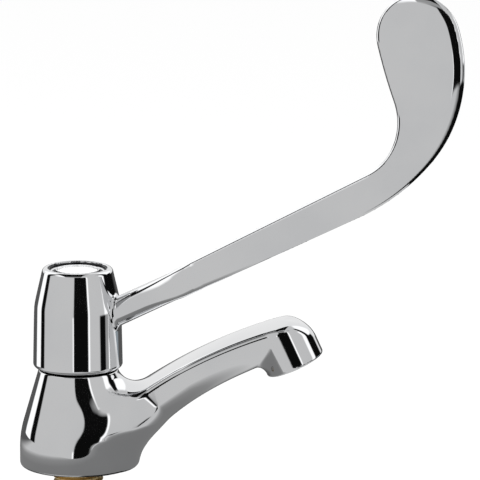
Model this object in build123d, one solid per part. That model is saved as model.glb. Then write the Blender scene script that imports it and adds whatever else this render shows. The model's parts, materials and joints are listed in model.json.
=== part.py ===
from build123d import *
import math
import os

# Single basin tap with a long lever. Millimetres and degrees, +Z up, spout along +X.
# The origin is the centre of the base's underside, on the axis that the lever turns about.

# Cast body: round foot, tapered column
base_radius = 24.7
foot_height = 8.0
foot_blend_radius = 42.0
foot_edge_radius = 2.0
body_taper = 16.2
body_height = 42.0
collar_edge_radius = 0.8
casting_wall = 3.6
core_height = 11.0

# Cast body: spout. Distances "along" and "up" are taken in the outlet's own tilted frame.
spout_reach = 91.9
outlet_height = 43.7
outlet_tilt = 24.3
outlet_radius = 12.8
spout_root_width = 21.6
spout_end_width = 24.4
spout_depth = 21.7
spout_arch_radius = 217.0
spout_arch_back = 26.0
underside_height = 5.7
underside_sweep = 29.5
underside_power = 2.8
throat_setback = 7.2
nozzle_corner_radius = 10.5
spout_root_overlap = 14.8
spout_flare_start = 54.0
spout_flare_radius = 36.0
shoulder_radius = 3.0
side_lean = 10.0
top_crown = 5.0
root_fillet = 5.0
section_steps = 20
section_arc_steps = 40

# Waterway and valve socket in the body
waterway_radius = 4.2
waterway_root_up = 10.4
waterway_end_up = 14.5
waterway_end_back = 6.0
seat_height = 12.0
seat_floor = 3.0
seat_port_radius = 6.0
chamber_radius = 11.5
chamber_top = 30.0

# Inlet shank, a half-inch pipe thread drawn at its outside radius
thread_radius = 20.955 / 2
thread_clearance = 0.03
inlet_bore_radius = 7.5
deck_thickness = 20.0
nut_runout = 3.0
relief_width = 1.6
relief_depth = 1.2
connector_length = 15.0
shank_chamfer = 1.2

# Deck fixings
gasket_thickness = 2.2
gasket_radius = 21.6
gasket_clearance = 0.4
rubber_washer_radius = 17.0
rubber_washer_thickness = 2.5
steel_washer_radius = 17.5
steel_washer_thickness = 1.5
washer_clearance = 0.4
nut_across_flats = 30.0
nut_height = 7.0
nut_chamfer = 1.5

# Ceramic discs and their seal
disc_radius = 8.7
disc_thickness = 3.2
disc_gap = 0.02
disc_core_radius = 2.4
disc_port_radius = 7.1
disc_port_angle = 78.0
disc_seal_thickness = 2.2
disc_seal_bore = 5.2
drive_slot_width = 3.2
drive_slot_depth = 1.4
drive_clearance = 0.1

# Headwork that screws into the body
cage_radius = 9.95
cage_clearance = 0.2
cage_lift = 1.0
window_width = 9.0
window_height = 4.4
headwork_thread_length = 9.0
headwork_gasket_thickness = 1.0
headwork_flange_radius = 13.2
headwork_flange_thickness = 2.2
headwork_hex_across_flats = 22.0
headwork_hex_height = 7.0
headwork_neck_radius = 7.5
headwork_neck_height = 4.4

# Spindle
spindle_radius = 5.0
running_clearance = 0.05
spindle_foot_radius = 8.2
spindle_foot_height = 3.6
spindle_foot_width = 8.0
spindle_plate_thickness = 1.2
thrust_washer_thickness = 1.2
o_ring_section = 1.4
o_ring_groove_width = 2.2
o_ring_spacing = 6.0
circlip_thickness = 1.0
circlip_radius = 6.6
circlip_groove_depth = 0.8
circlip_gap_angle = 44.0
spline_radius = 4.0
spline_depth = 0.5
spline_teeth = 20
spline_clearance = 0.05
spline_runout = 1.0
screw_hole_depth = 13.5

# Lever handle: hub
hub_gap = 0.8
hub_height = 42.7
hub_radius = 18.95
hub_side_taper = 1.2
hub_knee_height = 25.4
hub_knee_radius = 18.0
hub_top_taper = 13.1
hub_foot_radius = 1.6
hub_rim_radius = 1.6
hub_cavity_radius = 15.5
hub_cavity_height = 21.5
hub_roof_radius = 11.5
hub_roof_height = 34.4
hub_socket_depth = 14.3
hub_boss_wall = 2.2
hub_web = 2.9
index_recess_radius = 12.6
index_recess_depth = 2.9

# Lever handle: rod and flat blade, measured in the upright plane that holds them
lever_yaw = -20.0
lever_pitch = 27.1
rod_radius = 5.9
rod_axis_rise = 15.7
rod_end = 53.5
rod_flatten_length = 13.0
rod_flatten_clearance = 0.1
rod_fillet = 1.8
blade_thickness = 6.0
blade_edge_radius = 2.4
blade_start = 38.0
blade_line_offset = 6.35
blade_neck_share = 0.85
blade_arm_length = 98.2
blade_bend_radius = 100.0
blade_bend_angle = 23.5
paddle_back_radius = 62.0
paddle_back_angle = 56.3
paddle_tip_radius = 18.6
paddle_tip_angle = 177.2
paddle_front_radius = 217.0
paddle_front_angle = 6.3
paddle_throat_radius = 25.0
blade_top_length = 88.0
blade_top_splay = 1.7

# Handle fixings
bush_wall = 2.15
bush_clearance = 0.05
bush_key_width = 2.4
bush_key_height = 1.0
screw_radius = 2.5
screw_head_radius = 4.6
screw_head_height = 2.9
screw_washer_thickness = 0.8
screw_hole_clearance = 0.2
screw_tip_gap = 1.0
screw_head_chamfer = 0.5
screw_socket_across_flats = 3.0
screw_socket_depth = 2.0
counterbore_radius = 5.4
counterbore_depth = 4.4
index_clearance = 0.1
index_disc_radius = 8.6
index_disc_thickness = 1.5
index_disc_dome = 0.5
index_plug_radius = 5.0
index_plug_depth = 0.4
index_ring_height = 2.2
index_groove_radius = 1.3

# Aerator in the spout's mouth
mouth_radius = 10.3
mouth_neck_radius = 8.2
mouth_neck_depth = 5.0
aerator_recess = 0.8
aerator_clearance = 0.05
aerator_length = 7.0
aerator_wall = 1.5
aerator_lip = 0.6
aerator_key_width = 2.6
aerator_key_depth = 1.0
aerator_key_count = 4
insert_skin = 0.8
insert_plate = 1.6
insert_hole_radius = 0.55
insert_hole_rings = 3
insert_ring_pitch = 2.1
aerator_seal_thickness = 1.9

# Heights and radii that follow from the sizes above
gasket_recess_radius = gasket_radius + gasket_clearance
spigot_top = seat_height - seat_floor
rubber_washer_top = -deck_thickness
steel_washer_top = rubber_washer_top - rubber_washer_thickness
nut_top = steel_washer_top - steel_washer_thickness
nut_bottom = nut_top - nut_height
relief_top = nut_bottom - nut_runout
connector_top = relief_top - relief_width
connector_bottom = connector_top - connector_length
shank_bottom = connector_bottom - shank_chamfer

fixed_disc_bottom = seat_height + disc_seal_thickness
moving_disc_bottom = fixed_disc_bottom + disc_thickness + disc_gap
foot_bottom = moving_disc_bottom + disc_thickness
foot_top = foot_bottom + spindle_foot_height
thrust_washer_bottom = foot_top + running_clearance
cage_roof = thrust_washer_bottom + thrust_washer_thickness + running_clearance
cage_bottom = seat_height + cage_lift
rib_bottom = foot_bottom - drive_slot_depth + drive_clearance
cage_bore_radius = disc_radius + cage_clearance
flange_bottom = body_height + headwork_gasket_thickness
hex_bottom = flange_bottom + headwork_flange_thickness
neck_bottom = hex_bottom + headwork_hex_height
neck_top = neck_bottom + headwork_neck_height
circlip_bottom = neck_top + running_clearance
circlip_top = circlip_bottom + circlip_thickness

hub_bottom = body_height + hub_gap
hub_top = hub_bottom + hub_height
rod_axis_height = hub_bottom + rod_axis_rise
recess_floor = hub_top - index_recess_depth
counterbore_floor = recess_floor - counterbore_depth
roof_underside = hub_bottom + hub_roof_height
socket_top = counterbore_floor - hub_web
socket_bottom = socket_top - hub_socket_depth
socket_radius = spline_radius + bush_wall + bush_clearance
boss_radius = socket_radius + hub_boss_wall
spindle_top = socket_top - spline_clearance
spline_bottom = socket_bottom - spline_runout
screw_head_bottom = counterbore_floor + screw_washer_thickness
paddle_turn = blade_bend_angle + paddle_back_angle + paddle_tip_angle + paddle_front_angle
paddle_throat_angle = paddle_turn - 180 - blade_top_splay
mouth_depth = aerator_recess + aerator_length + aerator_seal_thickness + 2 * aerator_clearance

tilt = math.radians(outlet_tilt)
along = Vector(math.cos(tilt), 0, math.sin(tilt))
upward = Vector(-math.sin(tilt), 0, math.cos(tilt))
outlet_centre = Vector(spout_reach, 0, outlet_height)
outlet_plane = Plane(origin=outlet_centre, x_dir=along, z_dir=-upward)
standing = (Align.CENTER, Align.CENTER, Align.MIN)


def post(radius, bottom, top):
    """A solid cylinder about Z between two heights."""
    return Pos(0, 0, bottom) * Cylinder(radius, top - bottom, align=standing)


def ring(outer, inner, bottom, top):
    """A plain ring about Z between two heights."""
    return post(outer, bottom, top) - post(inner, bottom, top)


def bar(length, width, bottom, top):
    """A block centred on Z between two heights."""
    return Pos(0, 0, bottom) * Box(length, width, top - bottom, align=standing)


def arm(length, width, bottom, top):
    """A block that reaches from Z out along X, between two heights."""
    return Pos(0, 0, bottom) * Box(length, width, top - bottom, align=(Align.MIN, Align.CENTER, Align.MIN))


def hexagon(across_flats, bottom, top):
    """A hexagonal post about Z between two heights."""
    return Pos(0, 0, bottom) * extrude(RegularPolygon(across_flats / math.sqrt(3), 6), top - bottom)


def level_edges(solid, height):
    """The edges that lie flat at this height."""
    return [
        edge
        for edge in solid.edges()
        if abs(edge.center().Z - height) < 0.01 and edge.bounding_box().size.Z < 0.01
    ]


def turned(outline):
    """Revolve a closed outline of (radius, height) edges, with its seam away from the spout."""
    return Rot(0, 0, 180) * revolve(make_face(Plane.XZ * outline), Axis.Z)


def on_circle(centre, radius, degrees):
    """A point of a circle, the angle taken from straight up towards the first axis."""
    angle = math.radians(degrees)
    return (centre[0] + radius * math.sin(angle), centre[1] + radius * math.cos(angle))


# Cast body


def column_outline():
    """Half outline of the foot and column, carried past both ends for the root fillet."""
    below = -body_height / 2
    above = body_height + 2 * root_fillet
    wall = Line((base_radius, below), (base_radius, foot_height))
    blend = JernArc(wall @ 1, (0, 1), foot_blend_radius, body_taper)
    rest = (above - (blend @ 1).Y) / math.cos(math.radians(body_taper))
    side = Line(blend @ 1, (blend @ 1) + (blend % 1) * rest)
    close = Polyline(side @ 1, (0, above), (0, below), wall @ 0)
    return Curve() + [wall, blend, side, close]


def spout_top(run):
    """Height of the spout's top above the outlet plane: a long shallow arch that flares at its root."""
    arch = spout_depth - (run + spout_arch_back) ** 2 / (2 * spout_arch_radius)
    flare = min(0, run + spout_flare_start) ** 2 / (2 * spout_flare_radius)
    return arch + flare


def evenly(points, count):
    """The points that divide a chain into that many equal steps."""
    reach = [0]
    for before, after in zip(points, points[1:]):
        reach.append(reach[-1] + math.dist(before, after))
    spaced = []
    place = 0
    for step in range(count + 1):
        target = reach[-1] * step / count
        while place < len(points) - 2 and reach[place + 1] < target:
            place += 1
        share = (target - reach[place]) / (reach[place + 1] - reach[place])
        (x, y), (next_x, next_y) = points[place : place + 2]
        spaced.append((x + share * (next_x - x), y + share * (next_y - y)))
    return spaced


def half_section(height, half_width, shoulder, lean, crown):
    """Chain from the top centre to the bottom centre: crown, shoulder, leaning side, round underside."""
    crown_turn = math.radians(crown)
    lean_turn = math.radians(lean)
    flat = half_width - shoulder
    crown_radius = (flat + shoulder * math.sin(crown_turn)) / math.sin(crown_turn)
    crown_centre = height - crown_radius
    level = crown_centre + (crown_radius - shoulder) * math.cos(crown_turn)
    round_radius = math.cos(lean_turn) * flat + shoulder - math.sin(lean_turn) * level
    round_radius /= 1 - math.sin(lean_turn)
    arcs = [
        ((0, crown_centre), crown_radius, 0, crown),
        ((flat, level), shoulder, crown, 90 + lean),
        ((0, round_radius), round_radius, 90 + lean, 180),
    ]
    chain = []
    for centre, radius, start, end in arcs:
        for step in range(section_arc_steps + 1):
            chain.append(on_circle(centre, radius, start + (end - start) * step / section_arc_steps))
    return evenly(chain, section_steps)


def spout_section(bottom, top, half_width, shoulder, lean, crown):
    """One closed section of the spout through two (along, up) points of its middle plane."""
    low = outlet_centre + along * bottom[0] + upward * bottom[1]
    high = outlet_centre + along * top[0] + upward * top[1]
    across = Vector(0, 1, 0)
    plane = Plane(origin=low, x_dir=across, z_dir=across.cross(high - low))
    right = half_section((high - low).length, half_width, shoulder, lean, crown)
    left = [(-x, y) for x, y in reversed(right[1:-1])]
    knots = [step / (2 * section_steps) for step in range(2 * section_steps + 1)]
    loop = Edge.make_spline([Vector(x, y) for x, y in right + left], periodic=True, parameters=knots)
    return plane * make_face(loop)


def spout_outside():
    """The spout from inside the column to its mouth, one smooth skin."""
    throat = -outlet_radius - throat_setback
    root = throat - (spout_reach - outlet_radius) / math.cos(tilt) + spout_root_overlap
    half_root = spout_root_width / 2
    half_end = spout_end_width / 2
    sections = []
    for share in (0, 0.2, 0.4, 0.6, 0.8, 1):
        run = root + share * (throat - root)
        under = underside_height - underside_sweep * (1 - share) ** underside_power
        half_width = half_root + share * (half_end - half_root)
        top = (run, spout_top(run))
        sections.append(spout_section((run, under), top, half_width, shoulder_radius, side_lean, top_crown))

    corner_run = outlet_radius - nozzle_corner_radius
    corner = (corner_run, spout_top(corner_run) - nozzle_corner_radius)
    tops = [
        (throat / 2, spout_top(throat / 2)),
        (0, spout_top(0)),
        on_circle(corner, nozzle_corner_radius, 30),
        on_circle(corner, nozzle_corner_radius, 65),
    ]
    for step, top in enumerate(tops, start=1):
        bend = math.radians(18 * step)
        back = -outlet_radius - throat_setback * (1 - math.sin(bend))
        bottom = (back, underside_height * math.cos(bend))
        share = step / 5
        half_width = half_end + share * (outlet_radius - half_end)
        shoulder = shoulder_radius + share**1.6 * (outlet_radius - shoulder_radius)
        lean = side_lean * (1 - share)
        crown = top_crown * (1 + 2 * share)
        sections.append(spout_section(bottom, top, half_width, shoulder, lean, crown))
    mouth = ((-outlet_radius, 0), (outlet_radius, 0))
    sections.append(spout_section(*mouth, outlet_radius, outlet_radius, 0, 30))
    return loft(sections)


def make_tap_body():
    """Chromed casting: foot, column and spout outside, valve chamber and waterway inside."""
    outside = turned(column_outline()) + spout_outside()
    joint = [
        edge
        for edge in outside.edges().filter_by(GeomType.BSPLINE)
        if edge.center().X < base_radius + shoulder_radius
    ]
    outside = fillet(joint, root_fillet)
    room = 4 * spout_reach
    outside = outside & bar(room, room, 0, room)
    outside = outside - post(base_radius, body_height, room)
    outside = fillet(level_edges(outside, 0), foot_edge_radius)
    outside = fillet(level_edges(outside, body_height), collar_edge_radius)

    socket = thread_radius + thread_clearance
    core_outer = base_radius - casting_wall
    hollows = [
        post(gasket_recess_radius, 0, gasket_thickness),
        ring(core_outer, socket + casting_wall, 0, core_height),
        post(socket, 0, spigot_top),
        post(seat_port_radius, 0, seat_height),
        post(chamber_radius, seat_height, chamber_top),
        post(socket, seat_height, body_height),
        outlet_plane * post(mouth_radius, -mouth_depth, 0),
        outlet_plane * post(mouth_neck_radius, -mouth_depth - mouth_neck_depth, 0),
    ]
    root_back = spout_reach / math.cos(tilt) - chamber_radius
    start = outlet_centre - along * root_back + upward * waterway_root_up
    end = outlet_centre - along * waterway_end_back + upward * waterway_end_up
    hollows.append(Plane(origin=start, z_dir=end - start) * post(waterway_radius, 0, (end - start).length))
    for hollow in hollows:
        outside = outside - hollow
    return outside


# Inlet shank and deck fixings


def make_inlet_tail():
    """Brass shank: spigot in the body, run of the backnut, relief, and the connector's length."""
    shank = post(thread_radius, shank_bottom, spigot_top)
    shank = chamfer(level_edges(shank, shank_bottom), shank_chamfer)
    relief = ring(thread_radius + relief_depth, thread_radius - relief_depth, connector_top, relief_top)
    return shank - relief - post(inlet_bore_radius, shank_bottom, spigot_top)


def make_backnut():
    """Hexagonal nut with its corners taken off at both faces."""
    corner = nut_across_flats / math.sqrt(3)
    blank = post(corner, nut_bottom, nut_top)
    blank = chamfer(level_edges(blank, nut_bottom) + level_edges(blank, nut_top), nut_chamfer)
    nut = blank & hexagon(nut_across_flats, nut_bottom, nut_top)
    return nut - post(thread_radius + thread_clearance, nut_bottom, nut_top)


# Headwork, discs and spindle


def sector(radius, degrees, height):
    """A wedge of a cylinder centred on the X axis."""
    half = math.radians(degrees / 2)
    start = (radius * math.cos(half), -radius * math.sin(half))
    end = (start[0], -start[1])
    outline = Curve() + [Line((0, 0), start), ThreePointArc(start, (radius, 0), end), Line(end, (0, 0))]
    return extrude(make_face(outline), height)


def make_fixed_disc():
    """Ceramic disc with two closed ports."""
    disc = post(disc_radius, 0, disc_thickness)
    port = sector(disc_port_radius, disc_port_angle, disc_thickness)
    port -= post(disc_core_radius, 0, disc_thickness)
    for side in (0, 180):
        disc -= Rot(0, 0, side) * port
    return Pos(0, 0, fixed_disc_bottom) * disc


def make_moving_disc():
    """Ceramic disc whose two wings cover the ports when shut, with a slot for the spindle."""
    disc = post(disc_radius - disc_gap, 0, disc_thickness)
    notch = sector(2 * disc_radius, disc_port_angle, disc_thickness)
    notch -= post(disc_core_radius, 0, disc_thickness)
    for side in (90, 270):
        disc -= Rot(0, 0, side) * notch
    disc -= bar(2 * disc_radius, drive_slot_width, disc_thickness - drive_slot_depth, disc_thickness)
    return Pos(0, 0, moving_disc_bottom) * disc


def make_headwork_body():
    """Brass headwork: ported cage, pipe thread, flange, hexagon and neck round the spindle."""
    cage = ring(cage_radius, cage_bore_radius, cage_bottom, cage_roof)
    window = arm(2 * cage_radius, window_width, foot_bottom, foot_bottom + window_height)
    for side in (0, 90, 180, 270):
        cage -= Rot(0, 0, side) * window
    outside = (
        post(cage_radius, cage_roof, body_height - headwork_thread_length)
        + post(thread_radius, body_height - headwork_thread_length, flange_bottom)
        + post(headwork_flange_radius, flange_bottom, hex_bottom)
        + hexagon(headwork_hex_across_flats, hex_bottom, neck_bottom)
        + post(headwork_neck_radius, neck_bottom, neck_top)
    )
    return cage + (outside - post(spindle_radius + running_clearance, cage_roof, neck_top))


def star(radius, depth, teeth):
    """A ring of pointed spline teeth."""
    points = []
    for step in range(2 * teeth):
        reach = radius if step % 2 == 0 else radius - depth
        angle = math.pi * step / teeth
        points.append((reach * math.cos(angle), reach * math.sin(angle)))
    return make_face(Polyline(*points, close=True))


def o_ring_height(number):
    """Middle height of one of the two spindle seals."""
    lowest = flange_bottom + o_ring_groove_width / 2
    return lowest + number * o_ring_spacing


def make_spindle():
    """Brass spindle: drive rib and foot, sealed shank, circlip groove and splined head."""
    foot = bar(2 * spindle_foot_radius, spindle_foot_width, foot_bottom, foot_top)
    foot += bar(2 * spindle_foot_radius, drive_slot_width - 2 * drive_clearance, rib_bottom, foot_bottom)
    foot &= post(spindle_foot_radius, rib_bottom, foot_top)
    plate = post(spindle_foot_radius, foot_top - spindle_plate_thickness, foot_top)
    shank = post(spindle_radius, foot_bottom, spline_bottom)
    teeth = extrude(star(spline_radius, spline_depth, spline_teeth), spindle_top - spline_bottom)
    spindle = foot + plate + shank + Pos(0, 0, spline_bottom) * teeth
    beyond = spindle_radius + running_clearance
    for number in range(2):
        middle = o_ring_height(number)
        half = o_ring_groove_width / 2
        spindle -= ring(beyond, spindle_radius - o_ring_section, middle - half, middle + half)
    clip_root = spindle_radius - circlip_groove_depth
    spindle -= ring(beyond, clip_root, circlip_bottom, circlip_top + running_clearance)
    return spindle - post(screw_radius, spindle_top - screw_hole_depth, spindle_top)


def make_o_ring(number):
    """Rubber ring in its groove, clear of the headwork's bore."""
    section = o_ring_section / 2
    middle_radius = spindle_radius - section
    return Pos(0, 0, o_ring_height(number)) * Torus(middle_radius, section - running_clearance / 2)


def make_circlip():
    """Open spring ring that keeps the spindle in its headwork."""
    inner = spindle_radius - circlip_groove_depth + running_clearance
    gap = sector(2 * circlip_radius, circlip_gap_angle, circlip_thickness)
    return ring(circlip_radius, inner, circlip_bottom, circlip_top) - Pos(0, 0, circlip_bottom) * gap


# Lever handle


def hub_outline():
    """Half outline of the solid hub: rounded foot, upright side, soft knee, taper, rounded rim."""
    side_turn = math.radians(hub_side_taper)
    top_turn = math.radians(hub_top_taper)
    knee_height = hub_bottom + hub_knee_height
    knee_radius = hub_radius - hub_knee_height * math.tan(side_turn)
    top_radius = knee_radius - (hub_top - knee_height) * math.tan(top_turn)
    corners = Polyline(
        (0, hub_bottom),
        (hub_radius, hub_bottom),
        (knee_radius, knee_height),
        (top_radius, hub_top),
        (0, hub_top),
    )
    rounded = corners
    for radius, corner in (
        (hub_foot_radius, (hub_radius, hub_bottom)),
        (hub_knee_radius, (knee_radius, knee_height)),
        (hub_rim_radius, (top_radius, hub_top)),
    ):
        nearest = rounded.vertices().sort_by_distance(Vector(*corner))[0]
        rounded = fillet(nearest, radius)
    return Curve() + [rounded, Line((0, hub_top), (0, hub_bottom))]


def blade_outline():
    """Side outline of the blade: straight arm, bend, long back, round tip, throat, straight top."""
    pitch = math.radians(lever_pitch)
    slope = math.tan(pitch)
    low = rod_axis_height + blade_start * slope - blade_line_offset / math.cos(pitch)
    arm = Line((blade_start, low), (blade_start + blade_arm_length * math.cos(pitch),
                                    low + blade_arm_length * math.sin(pitch)))
    pieces = [arm]
    for radius, turn in (
        (blade_bend_radius, blade_bend_angle),
        (paddle_back_radius, paddle_back_angle),
        (paddle_tip_radius, paddle_tip_angle),
        (paddle_front_radius, paddle_front_angle),
        (paddle_throat_radius, -paddle_throat_angle),
    ):
        last = pieces[-1]
        pieces.append(JernArc(last @ 1, last % 1, radius, turn))
    last = pieces[-1]
    top = Line(last @ 1, (last @ 1) + (last % 1) * blade_top_length)
    neck_height = rod_axis_height + blade_start * slope + blade_neck_share * rod_radius / math.cos(pitch)
    neck = Line(top @ 1, (blade_start, neck_height))
    return Curve() + pieces + [top, neck, Line(neck @ 1, arm @ 0)]


def lever_outside():
    """Hub, rod and blade as one solid, with the lever lying over the spout."""
    hub = turned(hub_outline())
    pitch = math.radians(lever_pitch)
    rod_dir = Vector(math.cos(pitch), 0, math.sin(pitch))
    rod_plane = Plane(origin=(0, 0, rod_axis_height), x_dir=(0, 1, 0), z_dir=rod_dir)
    rod = rod_plane * post(rod_radius, 0, rod_end)
    half = blade_thickness / 2
    full = rod_radius + rod_flatten_clearance
    flatten_start = rod_end - rod_flatten_length
    side = [(full, 0), (full, flatten_start), (half, rod_end)]
    other_side = [(-across, length) for across, length in reversed(side)]
    rod_plan = Plane(
        origin=(0, 0, rod_axis_height),
        x_dir=(0, 1, 0),
        z_dir=(math.sin(pitch), 0, -math.cos(pitch)),
    )
    wedge = extrude(rod_plan * make_face(Polyline(*side, *other_side, close=True)), full, both=True)
    rod = rod & wedge
    blade = extrude(Plane.XZ * make_face(blade_outline()), half, both=True)
    rims = [
        edge
        for edge in blade.edges()
        if abs(abs(edge.center().Y) - half) < 0.01 and edge.center().X > blade_start + 1
    ]
    blade = fillet(rims, blade_edge_radius)
    lever = hub + rod
    root = [
        edge
        for edge in lever.edges()
        if edge.geom_type == GeomType.BSPLINE and edge.center().X < hub_radius + rod_radius
    ]
    lever = fillet(root, rod_fillet)
    return lever + blade


def bush_keys(bottom, top, clearance):
    """Two keys on opposite sides of the bush, or the slots that take them."""
    reach = socket_radius - bush_clearance + bush_key_height + clearance
    keys = bar(2 * reach, bush_key_width + 2 * clearance, bottom, top)
    return keys - post(spline_radius + bush_wall / 2, bottom, top)


def make_lever_handle():
    """Chromed casting: hollow hub with a keyed boss, rod and flat elbow blade."""
    cavity = Polyline(
        (0, hub_bottom),
        (hub_cavity_radius, hub_bottom),
        (hub_cavity_radius, hub_bottom + hub_cavity_height),
        (hub_roof_radius, roof_underside),
        (boss_radius, roof_underside),
        (boss_radius, socket_bottom),
        (0, socket_bottom),
        close=True,
    )
    hollows = [
        turned(cavity),
        post(socket_radius, socket_bottom, socket_top),
        bush_keys(socket_bottom, socket_top, bush_clearance),
        post(screw_radius + screw_hole_clearance, socket_top, counterbore_floor),
        post(counterbore_radius, counterbore_floor, recess_floor),
        post(index_recess_radius, recess_floor, hub_top),
    ]
    lever = lever_outside()
    for hollow in hollows:
        lever -= hollow
    return lever


def make_spline_bush():
    """Nylon bush between the spindle's splines and the handle."""
    bottom = socket_bottom + bush_clearance
    top = socket_top - bush_clearance
    bush = post(socket_radius - bush_clearance, bottom, top) + bush_keys(bottom, top, 0)
    teeth = extrude(star(spline_radius + spline_clearance, spline_depth, spline_teeth), top - bottom)
    return bush - Pos(0, 0, bottom) * teeth


def make_handle_screw():
    """Cap screw that holds the handle on the spindle."""
    head_top = screw_head_bottom + screw_head_height
    tip = spindle_top - screw_hole_depth + screw_tip_gap
    head = post(screw_head_radius, screw_head_bottom, head_top)
    head = chamfer(level_edges(head, head_top), screw_head_chamfer)
    shank = post(screw_radius - running_clearance, tip, screw_head_bottom)
    return head + shank - hexagon(screw_socket_across_flats, head_top - screw_socket_depth, head_top)


def make_index_ring():
    """Chromed trim ring in the hub's top, with a rounded groove round the index disc."""
    outer = index_recess_radius - index_clearance
    inner = index_disc_radius + index_clearance
    top = recess_floor + index_ring_height
    groove = Pos(0, 0, top) * Torus((outer + inner) / 2, index_groove_radius)
    return ring(outer, inner, recess_floor, top) - groove


def make_index_disc():
    """Plain domed disc with a plug that sits in the counterbore."""
    top = recess_floor + index_disc_thickness + index_disc_dome
    sphere = (index_disc_radius**2 + index_disc_dome**2) / (2 * index_disc_dome)
    disc = post(index_disc_radius, recess_floor, top) & Pos(0, 0, top - sphere) * Sphere(sphere)
    return disc + post(index_plug_radius, recess_floor - index_plug_depth, recess_floor)


# Aerator, built on the outlet plane with its inside at negative heights


def make_aerator_housing():
    """Chromed ring screwed into the mouth, with key notches in its face."""
    outer = mouth_radius - aerator_clearance
    inner = outer - aerator_wall
    face = -aerator_recess
    body = ring(outer, inner, face - aerator_length, face)
    body += ring(outer, inner - aerator_lip, face - aerator_lip, face)
    notch = arm(outer, aerator_key_width, face - aerator_key_depth, 0) - post(inner, -mouth_depth, 0)
    for number in range(aerator_key_count):
        body -= Rot(0, 0, 45 + 360 * number / aerator_key_count) * notch
    return outlet_plane * body


def make_aerator_insert():
    """Plastic cartridge: a short tube between two plates with rings of holes."""
    outer = mouth_radius - 2 * aerator_clearance - aerator_wall
    face = -aerator_recess - aerator_lip - aerator_clearance
    back = -aerator_recess - aerator_length
    insert = ring(outer, outer - insert_skin, back, face)
    insert += post(outer, face - insert_plate, face)
    insert += post(outer, back, back + insert_plate)
    hole = post(insert_hole_radius, back, face)
    insert -= hole
    for lap in range(1, insert_hole_rings + 1):
        for number in range(6 * lap):
            insert -= Rot(0, 0, 60 * number / lap) * Pos(lap * insert_ring_pitch, 0, 0) * hole
    return outlet_plane * insert


def make_aerator_seal():
    """Rubber ring between the aerator and the mouth's ledge."""
    bottom = aerator_clearance - mouth_depth
    outer = mouth_radius - aerator_clearance
    inner = mouth_neck_radius + aerator_clearance
    return outlet_plane * ring(outer, inner, bottom, bottom + aerator_seal_thickness)


fixed_pieces = {
    "tap_body": make_tap_body(),
    "inlet_tail": make_inlet_tail(),
    "base_gasket": ring(gasket_radius, thread_radius + gasket_clearance, 0, gasket_thickness),
    "rubber_washer": ring(
        rubber_washer_radius, thread_radius + washer_clearance, steel_washer_top, rubber_washer_top
    ),
    "steel_washer": ring(steel_washer_radius, thread_radius + washer_clearance, nut_top, steel_washer_top),
    "backnut": make_backnut(),
    "headwork_body": make_headwork_body(),
    "headwork_gasket": ring(
        headwork_flange_radius, thread_radius + gasket_clearance, body_height, flange_bottom
    ),
    "disc_seal": ring(disc_radius, disc_seal_bore, seat_height, fixed_disc_bottom),
    "fixed_disc": make_fixed_disc(),
    "thrust_washer": ring(
        disc_radius, spindle_radius + running_clearance, thrust_washer_bottom, cage_roof - running_clearance
    ),
    "aerator_housing": make_aerator_housing(),
    "aerator_insert": make_aerator_insert(),
    "aerator_seal": make_aerator_seal(),
}

turning_pieces = {
    "lever_handle": make_lever_handle(),
    "spline_bush": make_spline_bush(),
    "handle_screw": make_handle_screw(),
    "screw_washer": ring(
        screw_head_radius, screw_radius + screw_hole_clearance, counterbore_floor, screw_head_bottom
    ),
    "index_ring": make_index_ring(),
    "index_disc": make_index_disc(),
    "spindle": make_spindle(),
    "spindle_o_ring_lower": make_o_ring(0),
    "spindle_o_ring_upper": make_o_ring(1),
    "spindle_circlip": make_circlip(),
    "moving_disc": make_moving_disc(),
}

os.makedirs("parts", exist_ok=True)
for name, piece in fixed_pieces.items():
    export_step(piece, f"parts/{name}.step")
for name, piece in turning_pieces.items():
    export_step(Rot(0, 0, lever_yaw) * piece, f"parts/{name}.step")
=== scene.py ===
import json
import math

import bmesh
import bpy
import numpy as np
from mathutils import Matrix, Vector


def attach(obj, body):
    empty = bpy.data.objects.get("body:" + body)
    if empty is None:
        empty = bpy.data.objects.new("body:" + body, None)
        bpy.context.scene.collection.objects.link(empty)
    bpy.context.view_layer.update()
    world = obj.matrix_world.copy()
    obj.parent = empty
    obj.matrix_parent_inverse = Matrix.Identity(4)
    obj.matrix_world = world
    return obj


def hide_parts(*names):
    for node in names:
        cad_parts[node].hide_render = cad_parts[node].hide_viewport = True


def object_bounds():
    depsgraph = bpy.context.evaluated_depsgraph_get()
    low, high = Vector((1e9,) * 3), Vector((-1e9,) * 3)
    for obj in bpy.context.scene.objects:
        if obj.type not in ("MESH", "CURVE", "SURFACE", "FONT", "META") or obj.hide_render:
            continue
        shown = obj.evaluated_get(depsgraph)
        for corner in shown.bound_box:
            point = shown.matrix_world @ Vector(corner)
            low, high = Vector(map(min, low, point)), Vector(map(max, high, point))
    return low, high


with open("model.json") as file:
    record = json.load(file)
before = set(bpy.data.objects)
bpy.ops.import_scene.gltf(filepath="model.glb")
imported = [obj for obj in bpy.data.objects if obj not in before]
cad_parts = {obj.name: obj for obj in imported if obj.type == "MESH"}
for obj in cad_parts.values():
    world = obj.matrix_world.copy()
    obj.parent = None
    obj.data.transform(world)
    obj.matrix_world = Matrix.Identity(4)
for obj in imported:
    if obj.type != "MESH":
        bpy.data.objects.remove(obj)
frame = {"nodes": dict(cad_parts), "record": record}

cad_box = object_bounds()

# A chromed basin tap with a long lever. Shapes are worked out in millimetres and stored in metres.
MM = 0.001

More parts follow.
